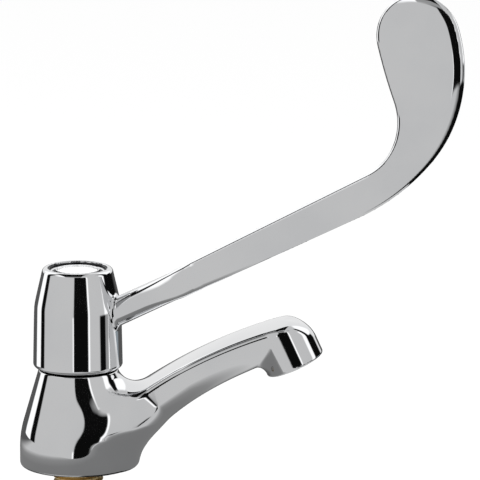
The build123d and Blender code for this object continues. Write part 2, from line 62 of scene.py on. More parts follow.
# Cast body: foot, tapered column and spout
BASE_RADIUS = 24.68
FOOT_HEIGHT = 8.0
FOOT_BLEND = 42.0
FOOT_EDGE = 2.0
TAPER = math.radians(16.2)
COLLAR_HEIGHT = 42.0
COLLAR_RADIUS = 17.5
COLLAR_EDGE = 0.8
SWELL = 5.3
SWELL_HEIGHT = 23
SWELL_SPREAD = 10.5
ROOT_BLEND = 11.0
ROOT_BLEND_AT_FOOT = 3
SPOUT_START = 8
SPOUT_START_EDGE = 6
OUTLET = (91.9, 0.0, 43.7)
TILT = math.radians(24.3)
CREST_PLACE = -28
CREST_HEIGHT = 21.75
CREST_BEND = 410
TOP_BEND = 270
SPOUT_HALF_WIDTH = 11.8
SPOUT_WIDENING = 0.0172
ROOT_WIDENING = 2.5
SIDE_LEAN = math.radians(10)
NOZZLE_RADIUS = 12.8
NOZZLE_EDGE = 1.0
MOUTH_RADIUS = 10.3
MOUTH_DEPTH = 9.8
MOUTH_NECK_RADIUS = 8.2
WATERWAY = ((13.0, 21.5), (80.0, 54.2))
WATERWAY_RADIUS = 4.2
HOLLOW_EDGE = 0.35
MOUTH_EXTRA_EDGE = 0.45

# Lever handle: hub, rod and blade
LEVER_YAW = math.radians(-20)
HUB_BOTTOM = 42.8
HUB_TOP = 85.5
HUB_LOWER_RADIUS = 18.9
HUB_LOWER_HEIGHT = 44.6
HUB_LOWER_TAPER = 0.01923
HUB_UPPER_RADIUS = 14.96
HUB_UPPER_HEIGHT = 84.26
HUB_UPPER_TAPER = 0.2327
ROD_START = 58.5
ROD_RADIUS = 5.95
PITCH = math.radians(27.1)
BLADE_HALF = 3.0
BLADE_EDGE = 1.5
PILLOW_WIDTH = 6
PILLOW_RADIUS = 7

# Deck fixings and inlet
PIPE_RADIUS = 10.4775
PIPE_PITCH = 1.814
PIPE_DEPTH = 1.16
THREAD_RUNS = ((-50.2, -36.6), (-33.0, -1.5))
THREAD_FLANK = math.radians(27.5)
THREAD_BURY = 0.15
SHANK_BOTTOM = -51.8
SPIGOT_TOP = 9.0
NUT_HALF = 15.0
NUT_BOTTOM = -31
NUT_TOP = -24
NUT_CHAMFER = 1.5

# Aerator, measured outwards from the mouth's plane
AERATOR_FACE = -0.8
AERATOR_BACK = -7.8
AERATOR_RADIUS = 10.25
AERATOR_INNER = 8.75
KEY_DEPTH = 1.0
KEY_HALF_WIDTH = 1.3
INSERT_FACE = -1.45
INSERT_RADIUS = 8.65
INSERT_HOLLOW = 7.85
INSERT_CHAMBER = 3.1
INSERT_RINGS = 3
INSERT_RING_GAP = 2.1
INSERT_HOLE = 0.55


# Blending of shapes given as signed distances


def joined(a, b, radius):
    """The two shapes together, with a hollow blend of that radius between them."""
    near = np.hypot(np.maximum(radius - a, 0), np.maximum(radius - b, 0))
    return np.maximum(radius, np.minimum(a, b)) - near


def common(a, b, radius):
    """Where both shapes are, with the edge between them rounded."""
    near = np.hypot(np.maximum(radius + a, 0), np.maximum(radius + b, 0))
    return np.minimum(-radius, np.maximum(a, b)) + near


def step_up(value, low, high):
    """0 before low, 1 after high, smooth between."""
    t = np.clip((value - low) / (high - low), 0, 1)
    return t * t * (3 - 2 * t)


def slot(radius, z, bottom, top, outer):
    """A round hollow about an upright axis."""
    return np.maximum(radius - outer, np.abs(z - (bottom + top) / 2) - (top - bottom) / 2)


def any_of(shapes):
    """Where at least one of the shapes is."""
    found = shapes[0]
    for other in shapes[1:]:
        found = np.minimum(found, other)
    return found


def slope_of(field, points, reach=0.05):
    """The field's gradient at points, by central differences."""
    parts = []
    for axis in range(3):
        ahead = [p + reach * (axis == i) for i, p in enumerate(points)]
        behind = [p - reach * (axis == i) for i, p in enumerate(points)]
        parts.append((field(*ahead) - field(*behind)) / (2 * reach))
    return parts


# Cast body


def column(radius, z):
    """Foot, its blend and the tapered column, open at both ends."""
    drop = np.clip(z - FOOT_HEIGHT, 0, FOOT_BLEND * math.sin(TAPER))
    curve = BASE_RADIUS - FOOT_BLEND + np.sqrt(FOOT_BLEND**2 - drop**2)
    straight = np.maximum(z - FOOT_HEIGHT - FOOT_BLEND * math.sin(TAPER), 0)
    outline = curve - straight * math.tan(TAPER)
    lean = np.minimum(drop / FOOT_BLEND, math.sin(TAPER))
    return (radius - outline) * np.sqrt(1 - lean**2)


def swollen(x, radius, z):
    """The column, fuller on the spout's side at mid height."""
    amount = SWELL * np.exp(-(((z - SWELL_HEIGHT) / SWELL_SPREAD) ** 2)) * step_up(z, 5, 16)
    share = x / np.maximum(radius, 1.0)
    return column(radius, z) - 0.5 * amount * (share + np.sqrt(share**2 + 0.015))


def from_mouth(x, z):
    """Place along the mouth's plane and height over it."""
    u = (x - OUTLET[0]) * math.cos(TILT) + (z - OUTLET[2]) * math.sin(TILT)
    v = -(x - OUTLET[0]) * math.sin(TILT) + (z - OUTLET[2]) * math.cos(TILT)
    return u, v


def spout_raw(x, y, z):
    """The spout before its distances are evened out: arched top, leaning sides, round underside."""
    u, v = from_mouth(x, z)
    root = 1 - step_up(u, -86, -44)
    half_width = SPOUT_HALF_WIDTH + SPOUT_WIDENING * (u - CREST_PLACE) + ROOT_WIDENING * root
    arch = CREST_HEIGHT - (u - CREST_PLACE) ** 2 / CREST_BEND
    top = v - arch + y**2 / TOP_BEND
    # The underside falls ever more steeply towards the column
    back = np.clip((-22 - u) / 57.3, 0, 1.2)
    under = 5.55 - 11.2 * back**2 - 2.6 * back**4 - 3.8 * back**8
    lean = SIDE_LEAN - SIDE_LEAN * root
    round_radius = half_width * np.cos(lean) - (arch - 3 - under) * np.sin(lean)
    round_radius = round_radius / (1 - np.sin(lean))
    rise = v - under - round_radius
    side = np.abs(y)
    above = side * np.sin(lean) + rise * np.cos(lean) > 0
    arm = np.where(above, side * np.cos(lean) - rise * np.sin(lean), np.hypot(side, rise)) - round_radius
    arm = np.maximum(arm, u)
    reach = np.hypot(u, y)
    nozzle = common(reach - NOZZLE_RADIUS, -v, NOZZLE_EDGE)
    throat = 0.5 + 3.6 * (1 - step_up(v, 3, 13))
    body = joined(arm, nozzle, throat)
    ahead = np.clip(u / np.maximum(reach, 1e-3), 0, 1)
    shoulder = 2.6 + 7.6 * ahead**2
    return common(body, top, shoulder)


def spout(x, y, z):
    """The spout with its distances evened out, so that it blends well."""
    raw = spout_raw(x, y, z)
    gx, gy, gz = slope_of(spout_raw, (x, y, z))
    return raw / np.maximum(np.sqrt(gx**2 + gy**2 + gz**2), 0.5)


def casting(x, y, z):
    """The whole cast body, hollows included."""
    radius = np.hypot(x, y)
    arm = common(spout(x, y, z), SPOUT_START - x, SPOUT_START_EDGE)
    blend = ROOT_BLEND_AT_FOOT + (ROOT_BLEND - ROOT_BLEND_AT_FOOT) * step_up(z, 5, 20)
    shell = joined(swollen(x, radius, z), arm, blend)
    shell = common(shell, -z, FOOT_EDGE)
    over = z - COLLAR_HEIGHT
    above = np.where(radius < COLLAR_RADIUS, over, np.where(x > 0, -9.0, over))
    shell = common(shell, above, COLLAR_EDGE)
    u, v = from_mouth(x, z)
    across = np.hypot(u, y)
    start, end = WATERWAY
    length = math.dist(start, end)
    way_x, way_z = (end[0] - start[0]) / length, (end[1] - start[1]) / length
    along = (x - start[0]) * way_x + (z - start[1]) * way_z
    off = np.hypot(-(x - start[0]) * way_z + (z - start[1]) * way_x, y)
    hollow = any_of([
        # Gasket seat, lightening groove and spigot bore in the foot
        slot(radius, z, -5, 2.2, 22.0),
        np.maximum(slot(radius, z, -5, 11, 21.1), 14.1 - radius),
        slot(radius, z, -5, 9, 10.5),
        # Inlet port and headwork chamber
        slot(radius, z, 8, 13, 6.0),
        slot(radius, z, 12, 30, 11.5),
        slot(radius, z, 12, 50, 10.5),
        # Mouth, its neck and the waterway
        slot(across, v, -5, MOUTH_DEPTH, MOUTH_RADIUS),
        slot(across, v, 5, 14.8, MOUTH_NECK_RADIUS),
        np.maximum(off - WATERWAY_RADIUS, np.abs(along - length / 2) - length / 2),
    ])
    mouth_edge = HOLLOW_EDGE + MOUTH_EXTRA_EDGE * (1 - step_up(v, 2, 6))
    return common(shell, -hollow, np.where(x > 70, mouth_edge, HOLLOW_EDGE))


# Lever handle, in the upright plane of its rod: r along the lever, t across the blade


def hub(r, t, z):
    """Barrel-shaped hub with rounded foot and rim."""
    radius = np.hypot(r, t)
    lower = HUB_LOWER_RADIUS - HUB_LOWER_TAPER * (z - HUB_LOWER_HEIGHT)
    upper = HUB_UPPER_RADIUS + HUB_UPPER_TAPER * (HUB_UPPER_HEIGHT - z)
    outline = (lower + upper) / 2 - np.sqrt(((lower - upper) / 2) ** 2 + 0.04)
    lean = np.where(lower < upper, 1.0, 0.974)
    side = (radius - outline) * lean
    body = common(side, HUB_BOTTOM - z, 1.7)
    return common(body, z - HUB_TOP, 1.6)


def along_rod(r, z):
    """Place along the rod's axis."""
    return r * math.cos(PITCH) + (z - ROD_START) * math.sin(PITCH)


def pillow(side):
    """How far a point lies in the blade's rounded border, and half the blade's thickness there."""
    inward = np.clip(PILLOW_WIDTH + side, 0, PILLOW_WIDTH)
    return inward, BLADE_HALF - inward**2 / (2 * PILLOW_RADIUS)


def rod(r, t, z, side):
    """Round rod that is pressed flat where it runs into the blade."""
    s = along_rod(r, z)
    n = -r * math.sin(PITCH) + (z - ROD_START) * math.cos(PITCH)
    thick = ROD_RADIUS - 0.2 * np.clip((s - 15) / 27, 0, 1) - 0.25 * np.maximum(s - 60, 0)
    body = np.hypot(n, t) - thick
    flat = pillow(side)[1] + 3.1 * (1 - step_up(s, 35, 57)) - 0.1 * np.maximum(s - 57, 0)
    body = common(body, np.abs(t) - flat, 0.9)
    return np.maximum(body, -s)


# Radius and turn in degrees of each part of the blade's outline; a radius of 0 is a line of that length
BLADE_RUNS = ((0, 131.07), (100.1, 23.53), (61.9, 56.3), (18.6, 177.2), (217, 6.3), (25.05, -81.65))


def blade_chain():
    """Outline of the blade as lines and arcs, from the neck's lower corner round the paddle and back."""
    pieces = []
    turn = math.radians(27.15)
    heel = np.array((40.0, 71.72)) - 35 * np.array((math.cos(turn), math.sin(turn)))
    place = heel
    for radius, sweep in BLADE_RUNS:
        if radius == 0:
            ahead = place + sweep * np.array((math.cos(turn), math.sin(turn)))
            pieces.append(("line", place, ahead))
            place = ahead
            continue
        side = math.copysign(1, sweep)
        centre = place + side * radius * np.array((-math.sin(turn), math.cos(turn)))
        start = turn - side * math.pi / 2
        turn += math.radians(sweep)
        place = centre + side * radius * np.array((math.sin(turn), -math.cos(turn)))
        pieces.append(("arc", centre, radius, start, math.radians(sweep)))
    neck = np.array((50.0, 91.87))
    pieces.append(("line", place, neck))
    back = neck + 45 * np.array((math.cos(math.radians(211.8)), math.sin(math.radians(211.8))))
    pieces.append(("line", neck, back))
    pieces.append(("line", back, heel))
    return pieces


BLADE_CHAIN = blade_chain()


def blade_side(r, z):
    """Signed distance to the blade's outline in its own plane."""
    best = np.full(np.shape(r), 1e3)
    signed = np.full(np.shape(r), 1e3)
    for piece in BLADE_CHAIN:
        if piece[0] == "line":
            _, start, end = piece
            way = (end - start) / np.linalg.norm(end - start)
            s = np.clip((r - start[0]) * way[0] + (z - start[1]) * way[1], 0, np.linalg.norm(end - start))
            near_r, near_z = start[0] + s * way[0], start[1] + s * way[1]
            side = np.sign((r - near_r) * way[1] - (z - near_z) * way[0])
        else:
            _, centre, radius, start, sweep = piece
            middle = start + sweep / 2
            angle = np.arctan2(z - centre[1], r - centre[0])
            angle = middle + (angle - middle + math.pi) % (2 * math.pi) - math.pi
            angle = np.clip(angle, middle - abs(sweep) / 2, middle + abs(sweep) / 2)
            near_r, near_z = centre[0] + radius * np.cos(angle), centre[1] + radius * np.sin(angle)
            outward = (r - near_r) * np.cos(angle) + (z - near_z) * np.sin(angle)
            side = np.sign(outward) * math.copysign(1, sweep)
        gap = np.hypot(r - near_r, z - near_z)
        closer = gap < best
        best = np.where(closer, gap, best)
        signed = np.where(closer, side * gap, signed)
    return signed


def blade(r, t, z, side):
    """Flat blade with pillowed edges; it fades into the rod at its neck."""
    s = along_rod(r, z)
    side = np.maximum(side + 2.0 * (1 - step_up(s, 40, 52)), 12 - s)
    inward, half = pillow(side)
    face = (np.abs(t) - half) / np.sqrt(1 + (inward / PILLOW_RADIUS) ** 2)
    return common(side, face, BLADE_EDGE)


def handle(r, t, z):
    """The whole lever handle, hollows included."""
    radius = np.hypot(r, t)
    side = blade_side(r, z)
    body = joined(hub(r, t, z), rod(r, t, z, side), 1.8)
    body = joined(body, blade(r, t, z, side), 0.8)
    wall = radius - 15.5 + 0.31 * np.maximum(z - 64.3, 0)
    cavity = np.maximum(np.maximum(wall, z - 77.2), np.minimum(8.4 - radius, z - 61.0))
    hollow = any_of([
        cavity,
        # Bush seat, screw hole, screw head's recess and the seat of the ring and button
        slot(radius, z, 50, 75.3, 6.2),
        slot(radius, z, 70, 80, 2.7),
        slot(radius, z, 78.2, 90, 5.4),
        slot(radius, z, 82.6, 95, 12.6),
    ])
    return common(body, -hollow, 0.3)


# Turning a field into a mesh


def skin(name, field, xs, ys, zs, turn=0.0):
    """A closed quad mesh on the field's zero surface, its points and normals pulled exactly onto it."""
    layers = []
    for part in np.array_split(np.arange(len(xs)), max(1, len(xs) // 24)):
        grid = np.meshgrid(xs[part], ys, zs, indexing="ij")
        layers.append(field(*grid).astype(np.float32))
    values = np.concatenate(layers)
    inside = values < 0
    nx, ny, nz = values.shape
    count = np.zeros((nx - 1, ny - 1, nz - 1), np.int8)
    corners = [(i, j, k) for i in (0, 1) for j in (0, 1) for k in (0, 1)]
    for i, j, k in corners:
        count += inside[i : nx - 1 + i, j : ny - 1 + j, k : nz - 1 + k]
    cell = np.argwhere((count > 0) & (count < 8))
    number = np.full(count.shape, -1, np.int64)
    number[tuple(cell.T)] = np.arange(len(cell))
    total = np.zeros((len(cell), 3))
    hits = np.zeros(len(cell))
    axes = [np.asarray(a, float) for a in (xs, ys, zs)]
    for corner in corners:
        for axis in range(3):
            if corner[axis]:
                continue
            far = tuple(c + (a == axis) for a, c in enumerate(corner))
            here = tuple((cell + corner).T)
            there = tuple((cell + far).T)
            a, b = values[here].astype(float), values[there].astype(float)
            crossed = (a < 0) != (b < 0)
            share = np.where(crossed, a / np.where(crossed, a - b, 1), 0)
            for dimension in range(3):
                p = axes[dimension][here[dimension]]
                q = axes[dimension][there[dimension]]
                total[:, dimension] += np.where(crossed, p + share * (q - p), 0)
            hits += crossed
    points = total / hits[:, None]
    quads = []
    for axis in range(3):
        b, c = (axis + 1) % 3, (axis + 2) % 3
        low = [slice(None)] * 3
        high = [slice(None)] * 3
        low[axis], high[axis] = slice(0, -1), slice(1, None)
        change = inside[tuple(low)] != inside[tuple(high)]
        edge = np.argwhere(change)
        keep = (edge[:, b] > 0) & (edge[:, c] > 0)
        keep &= (edge[:, b] < values.shape[b] - 1) & (edge[:, c] < values.shape[c] - 1)
        edge = edge[keep]
        ring = []
        for shift_b, shift_c in ((1, 1), (0, 1), (0, 0), (1, 0)):
            place = edge.copy()
            place[:, b] -= shift_b
            place[:, c] -= shift_c
            ring.append(number[tuple(place.T)])
        ring = np.stack(ring, 1)
        outward = inside[tuple(edge.T)]
        quads.append(np.where(outward[:, None], ring, ring[:, ::-1]))
    quads = np.concatenate(quads)
    for _ in range(4):
        p = [points[:, i] for i in range(3)]
        value = field(*p)
        slope = np.stack(slope_of(field, p, 0.02), 1)
        move = value / np.maximum((slope**2).sum(1), 0.05)
        points = points - np.clip(move, -0.3, 0.3)[:, None] * slope
    slope = np.stack(slope_of(field, [points[:, i] for i in range(3)], 0.15), 1)
    normals = slope / np.maximum(np.linalg.norm(slope, axis=1), 1e-6)[:, None]
    spin = np.array(((math.cos(turn), -math.sin(turn), 0), (math.sin(turn), math.cos(turn), 0), (0, 0, 1)))
    return solid(name, points @ spin.T, quads.tolist(), normals @ spin.T)


def solid(name, points, faces, normals=None):
    """A mesh object from points in millimetres, smooth, with its own normals if they are given."""
    mesh = bpy.data.meshes.new(name)
    mesh.from_pydata((np.asarray(points) * MM).tolist(), [], faces)
    mesh.validate()
    mesh.shade_smooth()
    if normals is not None and len(normals) == len(mesh.vertices):
        mesh.normals_split_custom_set_from_vertices(np.asarray(normals).tolist())
    made = bpy.data.objects.new(name, mesh)
    bpy.context.scene.collection.objects.link(made)
    return made


def spread(low, high, step):
    """Even grid places from low to high."""
    return np.linspace(low, high, int(round((high - low) / step)) + 1)


# Turned pieces


def turned(name, outline, steps=128, shape=None, crease=35):
    """A closed ring or disc from an outline of (radius, height) points, run round the axis.

    The outline goes anticlockwise; a disc's starts and ends on the axis. shape(angle, radius, height)
    gives the point's radius and height where they change round the axis.
    """
    rows = [np.array(p, float) for p in outline]
    closed = rows[0][0] > 1e-6
    angles = np.arange(steps) * 2 * math.pi / steps
    points, starts = [], []
    for radius, height in rows:
        starts.append(len(points))
        if radius < 1e-6:
            points.append((0, 0, height))
            continue
        for angle in angles:
            r, z = shape(angle, radius, height) if shape else (radius, height)
            points.append((r * math.cos(angle), r * math.sin(angle), z))
    faces = []
    pairs = list(zip(range(len(rows) - 1), range(1, len(rows))))
    if closed:
        pairs.append((len(rows) - 1, 0))
    for a, b in pairs:
        for i in range(steps):
            j = (i + 1) % steps
            if rows[a][0] < 1e-6:
                faces.append((starts[a], starts[b] + j, starts[b] + i))
            elif rows[b][0] < 1e-6:
                faces.append((starts[a] + i, starts[a] + j, starts[b]))
            else:
                faces.append((starts[a] + i, starts[a] + j, starts[b] + j, starts[b] + i))
    made = solid(name, points, faces)
    settle(made, crease)
    return made


def settle(piece, crease):
    """Turns every face outward and splits the shading at edges sharper than the crease."""
    work = bmesh.new()
    work.from_mesh(piece.data)
    bmesh.ops.recalc_face_normals(work, faces=work.faces)
    work.to_mesh(piece.data)
    work.free()
    piece.data.shade_smooth()
    piece.data.set_sharp_from_angle(angle=math.radians(crease))


# Node wiring


class Wire:
    """A socket that can be used in sums."""

    def __init__(self, tree, socket):
        self.tree = tree
        self.socket = socket

    def math(self, operation, *values):
        return build(self.tree, "ShaderNodeMath", *values, operation=operation)

    def __add__(self, other):
        return self.math("ADD", self, other)

    def __radd__(self, other):
        return self.math("ADD", other, self)

    def __sub__(self, other):
        return self.math("SUBTRACT", self, other)

    def __rsub__(self, other):
        return self.math("SUBTRACT", other, self)

    def __mul__(self, other):
        return self.math("MULTIPLY", self, other)

    def __rmul__(self, other):
        return self.math("MULTIPLY", other, self)

    def __truediv__(self, other):
        return self.math("DIVIDE", self, other)

    def __rtruediv__(self, other):
        return self.math("DIVIDE", other, self)


def build(tree, kind, *values, out=0, stops=None, **settings):
    """One node with its settings, then the values or links of its sockets; gives one output."""
    made = tree.nodes.new(kind)
    for key, value in settings.items():
        setattr(made, key, value)
    if stops:
        band = made.color_ramp
        while len(band.elements) > 1:
            band.elements.remove(band.elements[0])
        band.elements[0].position = stops[0][0]
        for position, _ in stops[1:]:
            band.elements.new(position)
        for element, (_, colour) in zip(band.elements, stops):
            element.color = (*colour, 1) if hasattr(colour, "__len__") else (colour,) * 3 + (1,)
    named = []
    for index, value in enumerate(values):
        if isinstance(value, dict):
            named += list(value.items())
        elif value is not None:
            named.append((index, value))
    for key, value in named:
        socket = made.inputs[key]
        if isinstance(value, Wire):
            tree.links.new(value.socket, socket)
        elif socket.type == "RGBA":
            socket.default_value = (*value, 1) if len(value) == 3 else value
        else:
            socket.default_value = value
    return Wire(tree, made.outputs[out])


def smooth(tree, value, low, high):
    """0 before low, 1 after high."""
    kind = "ShaderNodeMapRange"
    return build(tree, kind, value, low, high, 0.0, 1.0, interpolation_type="SMOOTHSTEP", clamp=True)


def blended(tree, share, first, second):
    """A colour between two."""
    return build(tree, "ShaderNodeMix", {0: share, 6: first, 7: second}, data_type="RGBA", out=2)


def noise(tree, scale, detail=3.0, stretch=None, rough=0.5):
    """Noise on the piece's own coordinates, scale in patches per metre."""
    where = build(tree, "ShaderNodeTexCoord", out=3)
    if stretch:
        where = build(tree, "ShaderNodeMapping", where, {"Scale": stretch})
    values = {"Vector": where, "Scale": scale, "Detail": detail, "Roughness": rough}
    return build(tree, "ShaderNodeTexNoise", values)


def material(name, metallic, **fixed):
    """A new material: its node tree and its surface node."""
    made = bpy.data.materials.new(name)
    made.use_nodes = True
    tree = made.node_tree
    surface = tree.nodes["Principled BSDF"]
    surface.inputs["Metallic"].default_value = metallic
    for key, value in fixed.items():
        surface.inputs[key.replace("_", " ")].default_value = value
    return made, tree, surface


def plug(tree, surface, **wires):
    """Feeds wires into the surface node."""
    for key, wire in wires.items():
        tree.links.new(wire.socket, surface.inputs[key.replace("_", " ")])


def bumped(tree, height, strength, distance):
    """A normal from a height."""
    return build(tree, "ShaderNodeBump", {"Height": height, "Strength": strength, "Distance": distance})


def in_band(tree, value, low, high, soft):
    """1 between two values."""
    return smooth(tree, value, low - soft, low + soft) * (1 - smooth(tree, value, high - soft, high + soft))


def polished_chrome(name, gaps=(), rings=()):
    """Polished chrome; gaps are bands of height and rings bands of radius, in mm, painted near black as
    shade.
    """
    made, tree, surface = material(name, 1.0)
    where = build(tree, "ShaderNodeTexCoord", out=3)
    height = build(tree, "ShaderNodeSeparateXYZ", where, out=2) / MM
    flat = build(tree, "ShaderNodeVectorMath", where, (1, 1, 0), operation="MULTIPLY")
    radius = build(tree, "ShaderNodeVectorMath", flat, operation="LENGTH", out=1) / MM
    painted_shade = None
    for value, bands in ((height, gaps), (radius, rings)):
        for low, high in bands:
            band = in_band(tree, value, low, high, 0.12) * (1 - smooth(tree, radius, 19.0, 19.5))
            painted_shade = band if painted_shade is None else painted_shade.math("MAXIMUM", painted_shade, band)
    cloud = smooth(tree, noise(tree, 34.0, 4.0), 0.35, 0.7)
    haze = noise(tree, 160.0, 5.0, rough=0.6)
    lines = noise(tree, 900.0, 2.0, stretch=(0.15, 1.0, 0.15))
    tint = blended(tree, cloud, (0.815, 0.82, 0.828), (0.775, 0.782, 0.795))
    rough = 0.028 + 0.03 * smooth(tree, haze, 0.45, 0.75) + 0.012 * lines
    # Painted shade: inside the gap and ring bands the colour goes near black, for the shade that falls there
    if painted_shade is not None:
        tint = blended(tree, painted_shade, tint, (0.012, 0.012, 0.014))
        rough = rough + 0.3 * painted_shade
    waves = noise(tree, 120.0, 2.0) * 0.6 + lines * 0.05
    plug(tree, surface, Base_Color=tint, Roughness=rough, Normal=bumped(tree, waves, 0.05, 0.0004))
    return made


def turned_brass():
    made, tree, surface = material("turned_brass", 1.0)
    patch = smooth(tree, noise(tree, 55.0, 4.0), 0.3, 0.75)
    rings = noise(tree, 700.0, 2.0, stretch=(0.05, 0.05, 1.6))
    tint = blended(tree, patch, (0.78, 0.61, 0.33), (0.68, 0.5, 0.24))
    dark = blended(tree, smooth(tree, noise(tree, 260.0, 5.0), 0.55, 0.8), tint, (0.55, 0.39, 0.18))
    rough = 0.26 + 0.18 * patch + 0.12 * rings
    plug(tree, surface, Base_Color=dark, Roughness=rough, Normal=bumped(tree, rings, 0.25, 0.0002))
    return made


def plated_steel():
    made, tree, surface = material("plated_steel", 1.0)
    grain = noise(tree, 320.0, 4.0)
    cloud = smooth(tree, noise(tree, 60.0, 3.0), 0.35, 0.7)
    tint = blended(tree, cloud, (0.67, 0.675, 0.67), (0.58, 0.6, 0.62))
    rough = 0.3 + 0.2 * smooth(tree, grain, 0.4, 0.7) + 0.06 * cloud
    plug(tree, surface, Base_Color=tint, Roughness=rough, Normal=bumped(tree, grain, 0.2, 0.0002))
    return made


def matt_rubber():
    made, tree, surface = material("matt_rubber", 0.0)
    grain = noise(tree, 1100.0, 3.0)
    bloom = smooth(tree, noise(tree, 70.0, 5.0), 0.45, 0.8)
    tint = blended(tree, bloom, (0.035, 0.035, 0.037), (0.085, 0.085, 0.088))
    relief = bumped(tree, grain, 0.35, 0.0002)
    plug(tree, surface, Base_Color=tint, Roughness=0.62 + 0.2 * grain, Normal=relief)
    return made


def button_plastic():
    made, tree, surface = material("button_plastic", 0.0, Coat_Weight=0.6)
    surface.inputs["Coat Roughness"].default_value = 0.06
    cloud = smooth(tree, noise(tree, 90.0, 3.0), 0.35, 0.7)
    tint = blended(tree, cloud, (0.92, 0.922, 0.915), (0.87, 0.875, 0.87))
    grain = noise(tree, 700.0, 3.0)
    relief = bumped(tree, grain, 0.06, 0.0002)
    plug(tree, surface, Base_Color=tint, Roughness=0.2 + 0.12 * grain, Normal=relief)
    return made


def moulded_nylon():
    made, tree, surface = material("moulded_nylon", 0.0, Subsurface_Weight=0.05)
    cloud = smooth(tree, noise(tree, 120.0, 4.0), 0.35, 0.7)
    tint = blended(tree, cloud, (0.84, 0.84, 0.8), (0.76, 0.755, 0.7))
    grain = noise(tree, 900.0, 3.0)
    relief = bumped(tree, grain, 0.2, 0.0002)
    plug(tree, surface, Base_Color=tint, Roughness=0.42 + 0.16 * grain, Normal=relief)
    return made


def lapped_ceramic():
    made, tree, surface = material("lapped_ceramic", 0.0)
    speck = smooth(tree, noise(tree, 1400.0, 2.0), 0.6, 0.75)
    tint = blended(tree, speck, (0.93, 0.92, 0.89), (0.82, 0.8, 0.76))
    grain = noise(tree, 500.0, 3.0)
    relief = bumped(tree, grain, 0.05, 0.0001)
    plug(tree, surface, Base_Color=tint, Roughness=0.16 + 0.1 * grain, Normal=relief)
    return made


FINISHES = {
    "chrome": polished_chrome("polished_chrome"),
    "brass": turned_brass(),
    "steel": plated_steel(),
    "rubber": matt_rubber(),
    "white_plastic": button_plastic(),
    "nylon": moulded_nylon(),
    "ceramic": lapped_ceramic(),
}
NODE_SLOTS = {p["node"]: p["material_slot"] for p in frame["record"]["subparts"]}


def dress(piece, body, finish, *nodes, look=None):
    """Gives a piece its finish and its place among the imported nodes."""
    piece.data.materials.clear()
    piece.data.materials.append(look or FINISHES[finish])
    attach(piece, body)
    if nodes:
        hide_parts(*nodes)
    return piece


def finish_hidden_nodes():
    """The sealed inner pieces keep their CAD shapes and get the finishes above."""
    for name, node in frame["nodes"].items():
        node.data.materials.clear()
        node.data.materials.append(FINISHES[NODE_SLOTS[name]])


# Node groups for what repeats


def node_group(name, *labels):
    """An empty geometry node group; gives the tree and a wire for each named input."""
    tree = bpy.data.node_groups.new(name, "GeometryNodeTree")
    kinds = {"Base": "NodeSocketGeometry", "Finish": "NodeSocketMaterial"}
    for label in ("Base", "Finish") + labels:
        tree.interface.new_socket(label, in_out="INPUT", socket_type=kinds.get(label, "NodeSocketFloat"))
    tree.interface.new_socket("Geometry", in_out="OUTPUT", socket_type="NodeSocketGeometry")
    given = tree.nodes.new("NodeGroupInput")
    return tree, [Wire(tree, given.outputs[label]) for label in ("Base", "Finish") + labels]


def together(tree, parts):
    """Several geometries as one."""
    join = tree.nodes.new("GeometryNodeJoinGeometry")
    for part in parts:
        tree.links.new(part.socket, join.inputs[0])
    return Wire(tree, join.outputs[0])


def hand_out(tree, shape, finish):
    """Closes a group: instances realised, finish set."""
    real = build(tree, "GeometryNodeRealizeInstances", shape)
    done = build(tree, "GeometryNodeSetMaterial", real, {"Material": finish})
    tree.links.new(done.socket, tree.nodes.new("NodeGroupOutput").inputs[0])
    return tree


def pipe_thread(runs):
    """Trapezoid ridges along a right-handed helix, laid on the shank between the heights of each run."""
    tree, (base, finish, root, depth, pitch) = node_group("pipe_thread", "Root radius", "Depth", "Pitch")
    bury = THREAD_BURY * MM
    tall = depth + bury
    crest = pitch / 6
    foot = crest + tall * (2 * math.tan(THREAD_FLANK))
    sizes = {"Bottom Width": foot, "Top Width": crest, "Height": tall, "Offset": 0.0}
    outline = build(tree, "GeometryNodeCurvePrimitiveQuadrilateral", sizes, mode="TRAPEZOID")
    shift = build(tree, "ShaderNodeCombineXYZ", tall / 2 - bury, 0.0, 0.0)
    move = {"Translation": shift, "Rotation": (0, 0, -math.pi / 2)}
    outline = build(tree, "GeometryNodeTransform", outline, move)
    parts = [base]
    for low, high in runs:
        turns = (high - low) * MM / pitch
        helix = build(tree, "GeometryNodeCurveSpiral", {
            "Resolution": 64, "Rotations": turns, "Start Radius": root, "End Radius": root,
            "Height": (high - low) * MM, "Reverse": True,
        })
        helix = build(tree, "GeometryNodeTransform", helix, {"Translation": (0, 0, low * MM)})
        helix = build(tree, "GeometryNodeSetCurveNormal", helix, mode="Z_UP")
        along = build(tree, "GeometryNodeSplineParameter")
        nearest = along.math("MINIMUM", along, 1 - along) * turns
        fade = build(tree, "ShaderNodeMapRange", nearest, 0.0, 0.6, 0.04, 1.0, clamp=True)
        ends = {"Scale": fade, "Fill Caps": True}
        parts.append(build(tree, "GeometryNodeCurveToMesh", helix, outline, ends))
    return hand_out(tree, together(tree, parts), finish)


def drilled_plates():
    """A hollow cartridge with rings of holes through both of its plates."""
    labels = ("Hole radius", "Ring gap", "Hollow radius")
    tree, (base, finish, hole, gap, hollow) = node_group("drilled_plates", *labels)
    drill = build(tree, "GeometryNodeMeshCylinder", 20, 1, 1, hole, 20 * MM)
    cutters = [drill]
    for lap in range(1, INSERT_RINGS + 1):
        places = build(tree, "GeometryNodeMeshCircle", 6 * lap, gap * lap)
        cutters.append(build(tree, "GeometryNodeInstanceOnPoints", places, {"Instance": drill}))
    chamber = build(tree, "GeometryNodeMeshCylinder", 96, 1, 1, hollow, INSERT_CHAMBER * MM)
    middle = (0, 0, (INSERT_FACE + AERATOR_BACK) / 2 * MM)
    cutters.append(build(tree, "GeometryNodeTransform", chamber, {"Translation": middle}))
    tools = build(tree, "GeometryNodeRealizeInstances", together(tree, cutters))
    exact = {"operation": "DIFFERENCE", "solver": "EXACT"}
    cut = build(tree, "GeometryNodeMeshBoolean", base, tools, {"Self Intersection": True}, **exact)
    return hand_out(tree, cut, finish)


